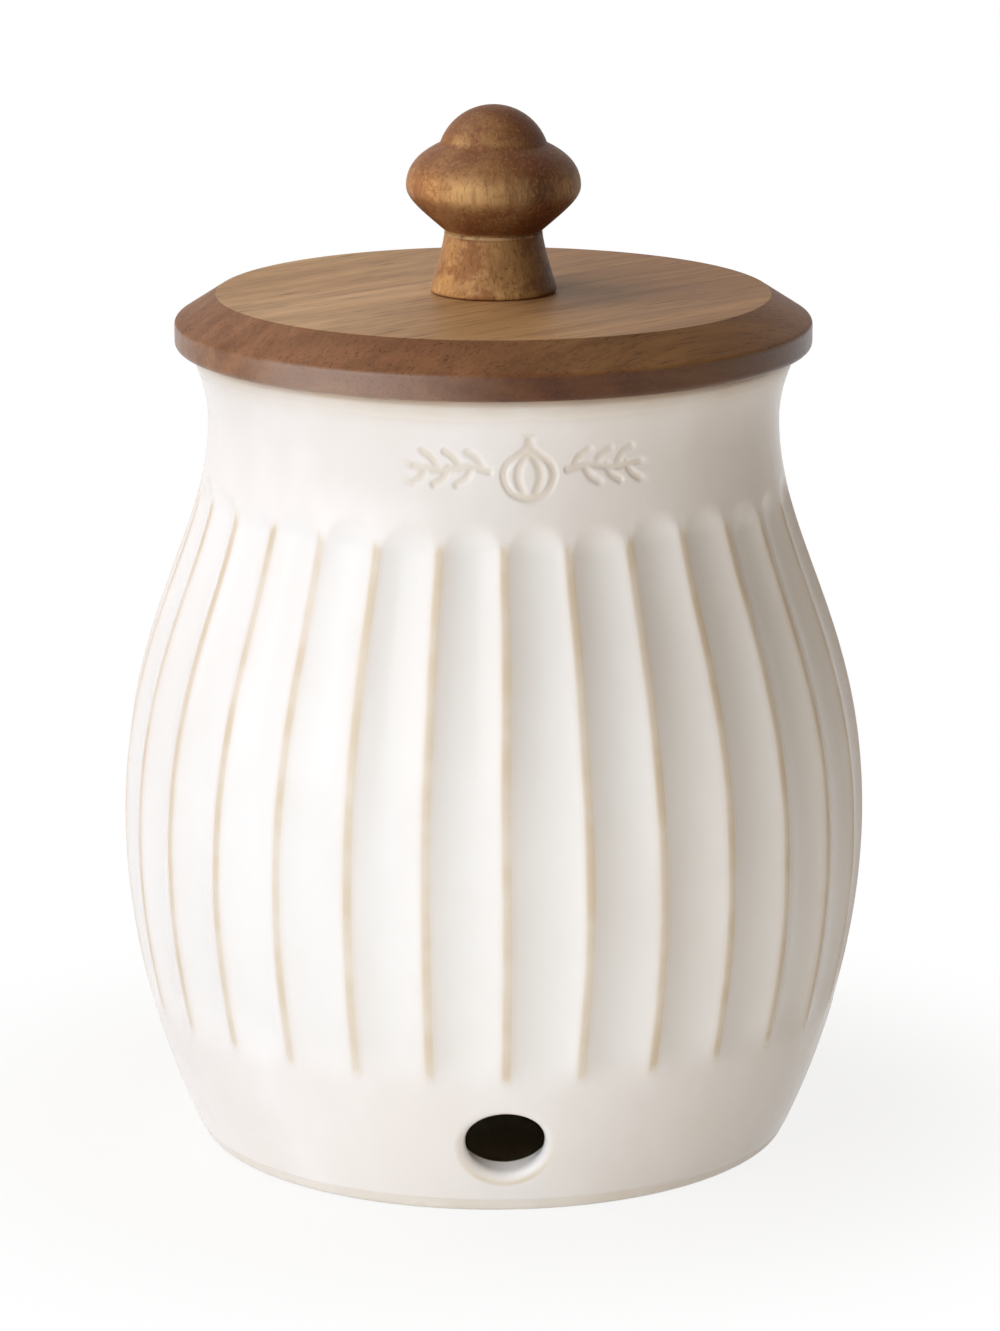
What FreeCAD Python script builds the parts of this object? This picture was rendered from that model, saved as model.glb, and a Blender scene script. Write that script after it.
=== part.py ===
"""Garlic keeper: a fluted stoneware jar with two vent holes and a lift-off wooden lid.

Millimetres, +Z up. The origin is the middle of the foot, and the front vent faces -Y.
"""
import FreeCAD
import Part
import math
import os

# ---- jar, outside -------------------------------------------------------------------------
JAR_HEIGHT = 146.6
FOOT_RADIUS = 54.0
FOOT_FLARE = 0.487          # outward run per unit of rise where the wall leaves the foot
FOOT_FULLNESS = 19.4        # reach of the curve's handle above the foot
BELLY_RADIUS = 68.0
BELLY_HEIGHT = 59.6
BELLY_FULLNESS_BELOW = 18.6
BELLY_FULLNESS_ABOVE = 37.2
NECK_RADIUS = 51.8
NECK_DROP = 12.7            # narrowest place of the neck, below the rim
NECK_FULLNESS_BELOW = 22.9
NECK_FULLNESS_ABOVE = 4.2
RIM_FLARE = 3.4             # how far the rim stands out past the neck
RIM_SLOPE = 0.52            # outward run per unit of rise at the rim
RIM_FULLNESS = 4.0
RIM_OUTER_ROUNDING = 2.0
RIM_INNER_ROUNDING = 3.0
FOOT_ROUNDING = 1.8

# ---- jar, inside --------------------------------------------------------------------------
WALL = 4.5
FLOOR_HEIGHT = 5.0
FLOOR_CORNER = 4.0
FOOT_RING_WIDTH = 8.0
FOOT_RECESS = 1.2
FOOT_RECESS_CORNER = 0.8

# ---- jar, vents ---------------------------------------------------------------------------
VENT_RADIUS = 7.0
VENT_SILL = 1.9             # from the floor inside up to the vent
VENT_TILT = 24.0            # degrees: drilled square to the wall, which leans outwards
VENT_ROUNDING = 2.0
VENT_COUNT = 2

# ---- jar, flutes --------------------------------------------------------------------------
FLUTE_COUNT = 30
FLUTE_DEPTH = 1.4
FLUTE_RIDGE = 1.4           # width of the ridge that is left between two flutes
FLUTE_ARCH = 7.0            # height of the rounded end of a flute
FLUTE_VENT_GAP = 1.1        # from the vent's rounded lip up to the flutes
FLUTE_NECK_GAP = 8.5        # from the flutes up to the narrowest place of the neck

# ---- lid board ----------------------------------------------------------------------------
LID_THICKNESS = 9.6
LID_OVERHANG = 2.4          # past the jar's rim
LID_CHAMFER_WIDTH = 7.5
LID_CHAMFER_DROP = 4.8
LID_EDGE_ROUNDING = 1.2
PLUG_DEPTH = 9.0
PLUG_GAP = 1.2              # between the plug and the mouth
PLUG_CHAMFER = 0.8

# ---- gasket -------------------------------------------------------------------------------
GROOVE_WIDTH = 4.0
GROOVE_DEPTH = 2.2
GROOVE_RISE = 2.4           # from the plug's underside up to the groove
GASKET_SLACK = 0.1          # between the gasket and its groove
GASKET_GAP = 0.3            # between the gasket's fins and the mouth
GASKET_FIN = 0.9

# ---- knob ---------------------------------------------------------------------------------
KNOB_FOOT_RADIUS = 11.4
KNOB_FOOT_ROUNDING = 0.6
KNOB_WAIST_RADIUS = 8.85
KNOB_WAIST_HEIGHT = 11.0
KNOB_LEDGE = 0.35           # the foot's top edge stands out past the start of the bulb
KNOB_BULB_RADIUS = 15.75
KNOB_BULB_RISE = 8.3        # from the waist to the widest place
KNOB_CREASE_RADIUS = 9.65
KNOB_CREASE_RISE = 7.6      # from the widest place to the crease
KNOB_DOME_HEIGHT = 6.9

# ---- screw and washer ---------------------------------------------------------------------
SCREW_RADIUS = 2.0
SCREW_GRIP = 16.0           # length of the screw inside the knob
SCREW_POINT = 3.0
SCREW_HEAD_RADIUS = 4.0
SCREW_HEAD_HEIGHT = 2.5
SCREW_HEAD_ROUNDING = 0.9
SCREW_SLOT_WIDTH = 1.0
SCREW_SLOT_LENGTH = 4.4
SCREW_SLOT_DEPTH = 1.4
SCREW_CLEARANCE = 0.25      # round the screw in the board and the washer
PILOT_SPARE = 1.5           # pilot hole past the screw's point
THREAD_CLEARANCE = 0.05
WASHER_RADIUS = 5.0
WASHER_THICKNESS = 1.0
COUNTERBORE_GAP = 0.75      # round the washer
COUNTERBORE_DEPTH = 8.0

# ---- places that follow from the sizes ----------------------------------------------------
UP = FreeCAD.Vector(0, 0, 1)
ORIGIN = FreeCAD.Vector(0, 0, 0)
RIM_RADIUS = NECK_RADIUS + RIM_FLARE
NECK_HEIGHT = JAR_HEIGHT - NECK_DROP
MOUTH_RADIUS = NECK_RADIUS - WALL
VENT_HEIGHT = FLOOR_HEIGHT + VENT_SILL + VENT_RADIUS
FLUTE_LOW = VENT_HEIGHT + VENT_RADIUS + VENT_ROUNDING + FLUTE_VENT_GAP
FLUTE_HIGH = NECK_HEIGHT - FLUTE_NECK_GAP
LID_RADIUS = RIM_RADIUS + LID_OVERHANG
LID_TOP = JAR_HEIGHT + LID_THICKNESS
PLUG_RADIUS = MOUTH_RADIUS - PLUG_GAP
PLUG_LOW = JAR_HEIGHT - PLUG_DEPTH
GROOVE_LOW = PLUG_LOW + GROOVE_RISE
GROOVE_RADIUS = PLUG_RADIUS - GROOVE_DEPTH
WASHER_TOP = PLUG_LOW + COUNTERBORE_DEPTH
SCREW_SEAT = WASHER_TOP - WASHER_THICKNESS
SCREW_TOP = LID_TOP + SCREW_GRIP


# ---- curves -------------------------------------------------------------------------------
def point(radius, height):
    """A point of a turned profile, drawn in the XZ plane."""
    return FreeCAD.Vector(radius, 0, height)


def span(*poles):
    """A Bezier curve through its first and last (radius, height) poles."""
    curve = Part.BezierCurve()
    curve.setPoles([point(*pole) for pole in poles])
    return curve


def line(start, end):
    return Part.makeLine(point(*start), point(*end))


def turned(edges):
    """The solid that a closed profile sweeps round the Z axis."""
    wire = Part.Wire(Part.__sortEdges__(edges))
    solid = Part.Face(wire).revolve(ORIGIN, UP, 360)
    return Part.makeSolid(solid.Shells[0])


def turned_polygon(corners):
    """A turned solid whose profile has straight sides."""
    return turned([line(corners[i - 1], corners[i]) for i in range(len(corners))])


def cylinder(radius, low, high):
    return Part.makeCylinder(radius, high - low, point(0, low), UP)


def ring_edges(shape, radius, height):
    """The circular edges of a turned shape at this radius and height."""
    near = 0.01
    found = []
    for edge in shape.Edges:
        if edge.Degenerated or not isinstance(edge.Curve, Part.Circle):
            continue
        circle = edge.Curve
        level = abs(circle.Center.z - height) < near and abs(circle.Axis.z) > 0.99
        if level and abs(circle.Radius - radius) < near:
            found.append(edge)
    return found


# ---- jar ----------------------------------------------------------------------------------
def skin_spans():
    """The jar's outer wall from the foot to the rim, without its flutes."""
    lower = span(
        (FOOT_RADIUS, 0),
        (FOOT_RADIUS + FOOT_FLARE * FOOT_FULLNESS, FOOT_FULLNESS),
        (BELLY_RADIUS, BELLY_HEIGHT - BELLY_FULLNESS_BELOW),
        (BELLY_RADIUS, BELLY_HEIGHT))
    shoulder = span(
        (BELLY_RADIUS, BELLY_HEIGHT),
        (BELLY_RADIUS, BELLY_HEIGHT + BELLY_FULLNESS_ABOVE),
        (NECK_RADIUS, NECK_HEIGHT - NECK_FULLNESS_BELOW),
        (NECK_RADIUS, NECK_HEIGHT))
    flare = span(
        (NECK_RADIUS, NECK_HEIGHT),
        (NECK_RADIUS, NECK_HEIGHT + NECK_FULLNESS_ABOVE),
        (RIM_RADIUS - RIM_SLOPE * RIM_FULLNESS, JAR_HEIGHT - RIM_FULLNESS),
        (RIM_RADIUS, JAR_HEIGHT))
    return [lower, shoulder, flare]


def skin_radius(height, spans):
    """The wall's radius at a height, found by halving along the span that holds it."""
    chosen = spans[-1]
    for candidate in reversed(spans):
        if height <= candidate.value(1).z:
            chosen = candidate
    low, high = 0.0, 1.0
    for _ in range(40):
        middle = (low + high) / 2
        if chosen.value(middle).z < height:
            low = middle
        else:
            high = middle
    return chosen.value((low + high) / 2).x


def jar_outside():
    edges = [curve.toShape() for curve in skin_spans()]
    edges.append(line((RIM_RADIUS, JAR_HEIGHT), (0, JAR_HEIGHT)))
    edges.append(line((0, JAR_HEIGHT), (0, 0)))
    edges.append(line((0, 0), (FOOT_RADIUS, 0)))
    return turned(edges)


def jar_cavity():
    """The space inside: a rounded room under a straight mouth, open past the rim."""
    slant = math.hypot(1, FOOT_FLARE)
    floor_radius = FOOT_RADIUS + FOOT_FLARE * FLOOR_HEIGHT - WALL * slant
    room_radius = BELLY_RADIUS - WALL
    share = (BELLY_HEIGHT - FLOOR_HEIGHT) / BELLY_HEIGHT
    above_rim = JAR_HEIGHT + WALL
    lower = span(
        (floor_radius, FLOOR_HEIGHT),
        (floor_radius + FOOT_FLARE * FOOT_FULLNESS * share, FLOOR_HEIGHT + FOOT_FULLNESS * share),
        (room_radius, BELLY_HEIGHT - BELLY_FULLNESS_BELOW * share),
        (room_radius, BELLY_HEIGHT))
    shoulder = span(
        (room_radius, BELLY_HEIGHT),
        (room_radius, BELLY_HEIGHT + BELLY_FULLNESS_ABOVE),
        (MOUTH_RADIUS, NECK_HEIGHT - NECK_FULLNESS_BELOW),
        (MOUTH_RADIUS, NECK_HEIGHT))
    edges = [lower.toShape(), shoulder.toShape()]
    edges.append(line((MOUTH_RADIUS, NECK_HEIGHT), (MOUTH_RADIUS, above_rim)))
    edges.append(line((MOUTH_RADIUS, above_rim), (0, above_rim)))
    edges.append(line((0, above_rim), (0, FLOOR_HEIGHT)))
    edges.append(line((0, FLOOR_HEIGHT), (floor_radius, FLOOR_HEIGHT)))
    room = turned(edges)
    return room.makeFillet(FLOOR_CORNER, ring_edges(room, floor_radius, FLOOR_HEIGHT))


def foot_recess():
    """The shallow hollow under the jar that leaves it standing on a ring."""
    radius = FOOT_RADIUS - FOOT_RING_WIDTH
    recess = cylinder(radius, -WALL, FOOT_RECESS)
    return recess.makeFillet(FOOT_RECESS_CORNER, ring_edges(recess, radius, FOOT_RECESS))


def vent_axes():
    """Where each vent's axis leaves the wall, and the direction in which it leaves."""
    tilt = math.radians(VENT_TILT)
    wall_radius = skin_radius(VENT_HEIGHT, skin_spans())
    axes = []
    for i in range(VENT_COUNT):
        turn = 2 * math.pi * i / VENT_COUNT
        side = FreeCAD.Vector(math.sin(turn), -math.cos(turn), 0)
        axes.append((side * wall_radius + UP * VENT_HEIGHT, side * math.cos(tilt) - UP * math.sin(tilt)))
    return axes


def vent_drill(mark, outwards):
    """The straight round hole of one vent, from inside the room to outside the wall."""
    reach = 2 * VENT_RADIUS + WALL
    return Part.makeCylinder(VENT_RADIUS, 2 * reach, mark - outwards * reach, outwards)


def vent_lip_edges(shape):
    """The edges where the vents leave the outer wall."""
    spans = skin_spans()
    axes = vent_axes()
    near = 0.05
    found = []
    for edge in shape.Edges:
        spots = [edge.valueAt(edge.FirstParameter + (edge.LastParameter - edge.FirstParameter) * share)
                 for share in (0.1, 0.4, 0.7)]
        outside = all(
            math.hypot(spot.x, spot.y) > skin_radius(spot.z, spans) - WALL / 2 for spot in spots)
        round_vent = any(
            all(abs((spot - mark).cross(outwards).Length - VENT_RADIUS) < near for spot in spots)
            for mark, outwards in axes)
        if outside and round_vent:
            found.append(edge)
    return found


def flute_cutter():
    """What one flute takes off the wall: a hollow that is deepest on its own middle line."""
    spans = skin_spans()
    low_end = FLUTE_LOW + FLUTE_ARCH
    high_end = FLUTE_HIGH - FLUTE_ARCH
    overrun = 1.5
    arch_steps = (1.0, 0.8, 0.6, 0.4, 0.2)
    straight_steps = 12
    across_steps = 8
    heights = [low_end - FLUTE_ARCH * overrun * step for step in arch_steps]
    heights += [low_end + (high_end - low_end) * i / straight_steps for i in range(straight_steps + 1)]
    heights += [high_end + FLUTE_ARCH * overrun * step for step in reversed(arch_steps)]
    rows = []
    for height in heights:
        wall_radius = skin_radius(height, spans)
        half_width = math.pi * wall_radius / FLUTE_COUNT - FLUTE_RIDGE / 2
        beyond = max(low_end - height, height - high_end, 0) / FLUTE_ARCH
        row = []
        for i in range(across_steps + 1):
            across = overrun * (2 * i / across_steps - 1)
            depth = FLUTE_DEPTH * (1 - across ** 2 - beyond ** 2)
            angle = across * half_width / wall_radius
            reach = wall_radius - depth
            row.append(FreeCAD.Vector(reach * math.sin(angle), -reach * math.cos(angle), height))
        rows.append(row)
    hollow = Part.BSplineSurface()
    hollow.interpolate(rows)
    return hollow.toShape().extrude(FreeCAD.Vector(0, -BELLY_RADIUS / 2, 0))


def make_jar():
    jar = jar_outside().cut(jar_cavity()).cut(foot_recess())
    jar = jar.makeFillet(RIM_OUTER_ROUNDING, ring_edges(jar, RIM_RADIUS, JAR_HEIGHT))
    jar = jar.makeFillet(RIM_INNER_ROUNDING, ring_edges(jar, MOUTH_RADIUS, JAR_HEIGHT))
    jar = jar.makeFillet(FOOT_ROUNDING, ring_edges(jar, FOOT_RADIUS, 0))
    for mark, outwards in vent_axes():
        jar = jar.cut(vent_drill(mark, outwards))
    jar = jar.makeFillet(VENT_ROUNDING, vent_lip_edges(jar))
    pitch = 360 / FLUTE_COUNT
    cutters = []
    for i in range(FLUTE_COUNT):
        cutter = flute_cutter()
        cutter.rotate(ORIGIN, UP, pitch * (i + 0.5))
        cutters.append(cutter)
    return jar.cut(cutters)


# ---- lid ----------------------------------------------------------------------------------
def make_lid_board():
    """The disc, its plug, the gasket's groove, and the screw's hole and counterbore."""
    groove_high = GROOVE_LOW + GROOVE_WIDTH
    board = turned_polygon([
        (0, PLUG_LOW),
        (PLUG_RADIUS - PLUG_CHAMFER, PLUG_LOW),
        (PLUG_RADIUS, PLUG_LOW + PLUG_CHAMFER),
        (PLUG_RADIUS, GROOVE_LOW),
        (GROOVE_RADIUS, GROOVE_LOW),
        (GROOVE_RADIUS, groove_high),
        (PLUG_RADIUS, groove_high),
        (PLUG_RADIUS, JAR_HEIGHT),
        (LID_RADIUS, JAR_HEIGHT),
        (LID_RADIUS, LID_TOP - LID_CHAMFER_DROP),
        (LID_RADIUS - LID_CHAMFER_WIDTH, LID_TOP),
        (0, LID_TOP)])
    for height in (JAR_HEIGHT, LID_TOP - LID_CHAMFER_DROP):
        board = board.makeFillet(LID_EDGE_ROUNDING, ring_edges(board, LID_RADIUS, height))
    board = board.cut(cylinder(WASHER_RADIUS + COUNTERBORE_GAP, PLUG_LOW - PLUG_DEPTH, WASHER_TOP))
    return board.cut(cylinder(SCREW_RADIUS + SCREW_CLEARANCE, PLUG_LOW, LID_TOP + LID_THICKNESS))


def make_lid_gasket():
    """A ring in the groove with a fin along each edge."""
    low = GROOVE_LOW + GASKET_SLACK
    high = GROOVE_LOW + GROOVE_WIDTH - GASKET_SLACK
    inner = GROOVE_RADIUS + GASKET_SLACK
    outer = MOUTH_RADIUS - GASKET_GAP
    return turned_polygon([
        (inner, low),
        (outer, low),
        (outer, low + GASKET_FIN),
        (PLUG_RADIUS, low + GASKET_FIN),
        (PLUG_RADIUS, high - GASKET_FIN),
        (outer, high - GASKET_FIN),
        (outer, high),
        (inner, high)])


# ---- knob ---------------------------------------------------------------------------------
def make_knob():
    """Tapered foot, waist, bulb, crease and domed cap, with a blind pilot hole."""
    waist = LID_TOP + KNOB_WAIST_HEIGHT
    bulb = waist + KNOB_BULB_RISE
    crease = bulb + KNOB_CREASE_RISE
    top = crease + KNOB_DOME_HEIGHT
    bulb_start = KNOB_WAIST_RADIUS - KNOB_LEDGE
    flare = KNOB_BULB_RADIUS - bulb_start
    shoulder_drop = KNOB_BULB_RADIUS - KNOB_CREASE_RADIUS
    foot = span(
        (KNOB_FOOT_RADIUS, LID_TOP),
        (KNOB_FOOT_RADIUS - (KNOB_FOOT_RADIUS - KNOB_WAIST_RADIUS) * 0.4, LID_TOP + KNOB_WAIST_HEIGHT * 0.33),
        (KNOB_WAIST_RADIUS, waist - KNOB_WAIST_HEIGHT * 0.15),
        (KNOB_WAIST_RADIUS, waist))
    bell = span(
        (bulb_start, waist),
        (bulb_start + flare * 0.65, waist + KNOB_BULB_RISE * 0.49),
        (KNOB_BULB_RADIUS, bulb - KNOB_BULB_RISE * 0.27),
        (KNOB_BULB_RADIUS, bulb))
    shoulder = span(
        (KNOB_BULB_RADIUS, bulb),
        (KNOB_BULB_RADIUS, bulb + KNOB_CREASE_RISE * 0.63),
        (KNOB_CREASE_RADIUS + shoulder_drop * 0.24, crease - KNOB_CREASE_RISE * 0.1),
        (KNOB_CREASE_RADIUS, crease))
    dome_radius = (KNOB_CREASE_RADIUS ** 2 + KNOB_DOME_HEIGHT ** 2) / (2 * KNOB_DOME_HEIGHT)
    dome_middle = top - dome_radius
    half_way = math.atan2(KNOB_CREASE_RADIUS, crease - dome_middle) / 2
    dome = Part.Arc(
        point(KNOB_CREASE_RADIUS, crease),
        point(dome_radius * math.sin(half_way), dome_middle + dome_radius * math.cos(half_way)),
        point(0, top))
    edges = [foot.toShape(), bell.toShape(), shoulder.toShape(), dome.toShape()]
    edges.append(line((KNOB_WAIST_RADIUS, waist), (bulb_start, waist)))
    edges.append(line((0, top), (0, LID_TOP)))
    edges.append(line((0, LID_TOP), (KNOB_FOOT_RADIUS, LID_TOP)))
    knob = turned(edges)
    knob = knob.makeFillet(KNOB_FOOT_ROUNDING, ring_edges(knob, KNOB_FOOT_RADIUS, LID_TOP))
    return knob.cut(cylinder(SCREW_RADIUS + THREAD_CLEARANCE, PLUG_LOW, SCREW_TOP + PILOT_SPARE))


# ---- fastening ----------------------------------------------------------------------------
def make_knob_screw():
    """A pan head screw that points up, with a cross in its head."""
    head_low = SCREW_SEAT - SCREW_HEAD_HEIGHT
    screw = turned_polygon([
        (0, head_low),
        (SCREW_HEAD_RADIUS, head_low),
        (SCREW_HEAD_RADIUS, SCREW_SEAT),
        (SCREW_RADIUS, SCREW_SEAT),
        (SCREW_RADIUS, SCREW_TOP - SCREW_POINT),
        (0, SCREW_TOP)])
    screw = screw.makeFillet(SCREW_HEAD_ROUNDING, ring_edges(screw, SCREW_HEAD_RADIUS, head_low))
    for size_x, size_y in ((SCREW_SLOT_LENGTH, SCREW_SLOT_WIDTH), (SCREW_SLOT_WIDTH, SCREW_SLOT_LENGTH)):
        corner = FreeCAD.Vector(-size_x / 2, -size_y / 2, head_low - SCREW_SLOT_DEPTH)
        screw = screw.cut(Part.makeBox(size_x, size_y, 2 * SCREW_SLOT_DEPTH, corner))
    return screw


def make_screw_washer():
    washer = cylinder(WASHER_RADIUS, SCREW_SEAT, WASHER_TOP)
    return washer.cut(cylinder(SCREW_RADIUS + SCREW_CLEARANCE, SCREW_SEAT - WALL, WASHER_TOP + WALL))


# ---- all pieces ---------------------------------------------------------------------------
NODES = {
    "jar": make_jar,
    "lid_board": make_lid_board,
    "lid_gasket": make_lid_gasket,
    "knob": make_knob,
    "knob_screw": make_knob_screw,
    "screw_washer": make_screw_washer,
}

os.makedirs("parts", exist_ok=True)
for name, make in NODES.items():
    shape = make()
    shape.exportStep("parts/" + name + ".step")
    print(name, "solids", len(shape.Solids), "valid", shape.isValid(), "volume", round(shape.Volume, 1))
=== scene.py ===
"""Garlic keeper: the look of the glazed jar, the wooden lid and knob, and the fastenings.

Sizes are in millimetres and become metres where a mesh is made. The front vent faces -Y.
"""

import math

import bmesh
import bpy
import numpy as np
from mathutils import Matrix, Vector


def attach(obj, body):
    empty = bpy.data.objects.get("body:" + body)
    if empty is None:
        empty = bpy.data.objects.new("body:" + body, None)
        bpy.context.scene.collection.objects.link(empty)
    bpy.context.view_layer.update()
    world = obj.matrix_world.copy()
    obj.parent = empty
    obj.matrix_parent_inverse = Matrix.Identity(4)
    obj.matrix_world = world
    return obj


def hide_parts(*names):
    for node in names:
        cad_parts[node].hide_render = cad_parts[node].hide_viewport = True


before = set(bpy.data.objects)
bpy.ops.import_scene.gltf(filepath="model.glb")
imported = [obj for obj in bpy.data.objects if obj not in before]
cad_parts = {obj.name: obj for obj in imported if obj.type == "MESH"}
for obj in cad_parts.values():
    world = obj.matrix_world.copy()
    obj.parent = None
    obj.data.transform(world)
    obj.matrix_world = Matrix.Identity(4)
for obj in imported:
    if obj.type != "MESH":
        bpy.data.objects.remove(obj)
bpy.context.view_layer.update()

MM = 0.001

# ---- jar: the turned wall ----
JAR_HEIGHT = 146.6
FOOT_RADIUS = 54.0
FOOT_FLARE = 0.487          # outward run per unit of rise where the wall leaves the foot
FOOT_FULLNESS = 19.4
FOOT_ROUNDING = 1.8
BELLY_RADIUS = 68.0
BELLY_HEIGHT = 59.6
BELLY_BELOW = 18.6
BELLY_ABOVE = 37.2
NECK_RADIUS = 51.8
NECK_HEIGHT = JAR_HEIGHT - 12.7
NECK_BELOW = 22.9
NECK_ABOVE = 4.2
RIM_RADIUS = NECK_RADIUS + 3.4
RIM_SLOPE = 0.52
RIM_FULLNESS = 4.0
RIM_OUTER_ROUNDING = 2.0
RIM_INNER_ROUNDING = 3.0
WALL = 4.5
FLOOR_HEIGHT = 5.0
FLOOR_CORNER = 4.0
RECESS_RADIUS = FOOT_RADIUS - 8.0
RECESS_DEPTH = 1.2
RECESS_CORNER = 0.8
RECESS_EDGE = 0.5
MOUTH_RADIUS = NECK_RADIUS - WALL

# ---- jar: where the glaze stops or thins, and the painted shade below the rim ----
FOOT_BAND = 2.5             # wiped clean of glaze up to this height
FOOT_BARENESS = 0.4
GLAZE_STEP = 0.12           # the bare clay lies this far inside the glaze
RIM_THIN_AND_SHADE_START = 5.5          # the glaze thins, with painted shade of the lid's overhang, from this far below the rim
RIM_THIN_AND_SHADE_RUN = 3.5
RIM_BARE_AND_SHADE = 0.5
MOUTH_BARENESS = 0.2

# ---- jar: vents and flutes ----
VENT_RADIUS = 7.0
VENT_HEIGHT = FLOOR_HEIGHT + 1.9 + VENT_RADIUS
VENT_TILT = math.radians(24)
VENT_ROUNDING = 2.0
VENT_SPREAD = 1.2           # the hole widens sideways this much inwards
VENT_FLATNESS = 0.1         # share taken off the top of the round
FLUTES = 30
FLUTE_DEPTH = 1.4
FLUTE_RIDGE = 1.4
FLUTE_ARCH = 5.8            # rounded upper end
FLUTE_FADE = 9.0            # shallow lower end
FLUTE_LOW = VENT_HEIGHT + VENT_RADIUS + VENT_ROUNDING + 1.1
FLUTE_HIGH = NECK_HEIGHT - 9.3
FLUTE_SEED = 7

# ---- lid, gasket, knob ----
LID_RADIUS = RIM_RADIUS + 2.4
LID_TOP = JAR_HEIGHT + 9.6
LID_CHAMFER_WIDTH = 7.5
LID_CHAMFER_LOW = LID_TOP - 4.8
PLUG_RADIUS = MOUTH_RADIUS - 1.2
PLUG_LOW = JAR_HEIGHT - 9.0
GROOVE_LOW = PLUG_LOW + 2.4
GROOVE_HIGH = GROOVE_LOW + 4.0
GROOVE_RADIUS = PLUG_RADIUS - 2.2
COUNTERBORE_RADIUS = 5.75
COUNTERBORE_TOP = PLUG_LOW + 8.0
SCREW_HOLE_RADIUS = 2.25
GASKET_SLACK = 0.1
GASKET_FIN = 0.9
GASKET_REACH = MOUTH_RADIUS - 0.3
KNOB_FOOT_RADIUS = 11.4
KNOB_WAIST_RADIUS = 8.85
KNOB_LEDGE = 0.35
KNOB_WAIST = LID_TOP + 11.0
KNOB_BULB_RADIUS = 15.75
KNOB_BULB = KNOB_WAIST + 8.3
KNOB_CREASE_RADIUS = 9.65
KNOB_CREASE = KNOB_BULB + 7.6
KNOB_TOP = KNOB_CREASE + 6.9


# ---- profiles: lines of (radius, height) points ----
def bezier(start, handle_a, handle_b, end, steps):
    """Points along a cubic curve, both ends included."""
    points = []
    for i in range(steps + 1):
        t = i / steps
        weights = ((1 - t) ** 3, 3 * (1 - t) ** 2 * t, 3 * (1 - t) * t ** 2, t ** 3)
        poles = (start, handle_a, handle_b, end)
        points.append(tuple(sum(w * pole[axis] for w, pole in zip(weights, poles)) for axis in (0, 1)))
    return points


def arc(middle, radius, start, end, steps):
    """Points on an arc between two angles in degrees; 0 points outwards and 90 up."""
    angles = [math.radians(start + (end - start) * i / steps) for i in range(steps + 1)]
    return [(middle[0] + radius * math.cos(a), middle[1] + radius * math.sin(a)) for a in angles]


def rounded(corners, steps=5, support=0.12):
    """A profile of straight runs whose corners (radius, height, rounding) are rounded off.

    Each arc has a support point beside it, which keeps the flats flat under smooth shading.
    """
    points = []
    for i, (r, z, rounding) in enumerate(corners):
        if rounding == 0 or i in (0, len(corners) - 1):
            points.append((r, z))
            continue
        here = Vector((r, z))
        to_last = (Vector(corners[i - 1][:2]) - here).normalized()
        to_next = (Vector(corners[i + 1][:2]) - here).normalized()
        turn = to_last.angle(to_next)
        reach = rounding / math.tan(turn / 2)
        middle = here + (to_last + to_next).normalized() * (rounding / math.sin(turn / 2))
        first = here + to_last * reach - middle
        last = here + to_next * reach - middle
        points.append(tuple(here + to_last * (reach + support)))
        for step in range(steps + 1):
            arm = first.slerp(last, step / steps)
            points.append(tuple(middle + arm.normalized() * rounding))
        points.append(tuple(here + to_next * (reach + support)))
    return points


def radius_at(line, height):
    """The radius of a rising line at a height."""
    line = np.asarray(line)
    return float(np.interp(height, line[:, 1], line[:, 0]))


def running_lengths(line):
    """How far along a line each of its points lies."""
    steps = np.hypot(*np.diff(np.array(line), axis=0).T)
    return np.concatenate(([0.0], np.cumsum(steps)))


def along_line(line, lengths, place):
    """The (radius, height) at a distance along a line."""
    return tuple(float(np.interp(place, lengths, values)) for values in zip(*line))


def spread(line, count):
    """The same line with its points evenly spaced, count + 1 of them."""
    lengths = running_lengths(line)
    return [along_line(line, lengths, lengths[-1] * i / count) for i in range(count + 1)]


WALL_LINE = np.array(
    bezier((FOOT_RADIUS, 0), (FOOT_RADIUS + FOOT_FLARE * FOOT_FULLNESS, FOOT_FULLNESS),
           (BELLY_RADIUS, BELLY_HEIGHT - BELLY_BELOW), (BELLY_RADIUS, BELLY_HEIGHT), 80)
    + bezier((BELLY_RADIUS, BELLY_HEIGHT), (BELLY_RADIUS, BELLY_HEIGHT + BELLY_ABOVE),
             (NECK_RADIUS, NECK_HEIGHT - NECK_BELOW), (NECK_RADIUS, NECK_HEIGHT), 100)
    + bezier((NECK_RADIUS, NECK_HEIGHT), (NECK_RADIUS, NECK_HEIGHT + NECK_ABOVE),
             (RIM_RADIUS - RIM_SLOPE * RIM_FULLNESS, JAR_HEIGHT - RIM_FULLNESS),
             (RIM_RADIUS, JAR_HEIGHT), 30))


# ---- meshes ----
def placed(name, data):
    """A new object in the scene."""
    made = bpy.data.objects.new(name, data)
    bpy.context.scene.collection.objects.link(made)
    return made


def mesh_object(name, points, faces, recalc=True):
    """A smooth-shaded mesh object made from points in millimetres."""
    mesh = bpy.data.meshes.new(name)
    mesh.from_pydata([tuple(value * MM for value in spot) for spot in points], [], faces)
    if recalc:
        shaping = bmesh.new()
        shaping.from_mesh(mesh)
        bmesh.ops.recalc_face_normals(shaping, faces=shaping.faces)
        shaping.to_mesh(mesh)
        shaping.free()
    mesh.polygons.foreach_set("use_smooth", [True] * len(mesh.polygons))
    return placed(name, mesh)


def skin_faces(rings, columns, open_cells=()):
    """Faces between neighbouring rings, without the open cells (row, column).

    A ring of a single point closes the skin on the axis.
    """
    faces = []
    for row, (low, high) in enumerate(zip(rings, rings[1:])):
        for i in range(columns):
            if (row, i) in open_cells:
                continue
            j = (i + 1) % columns
            corners = (low[i % len(low)], low[j % len(low)], high[j % len(high)], high[i % len(high)])
            faces.append(tuple(dict.fromkeys(corners)))
    return faces


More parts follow.
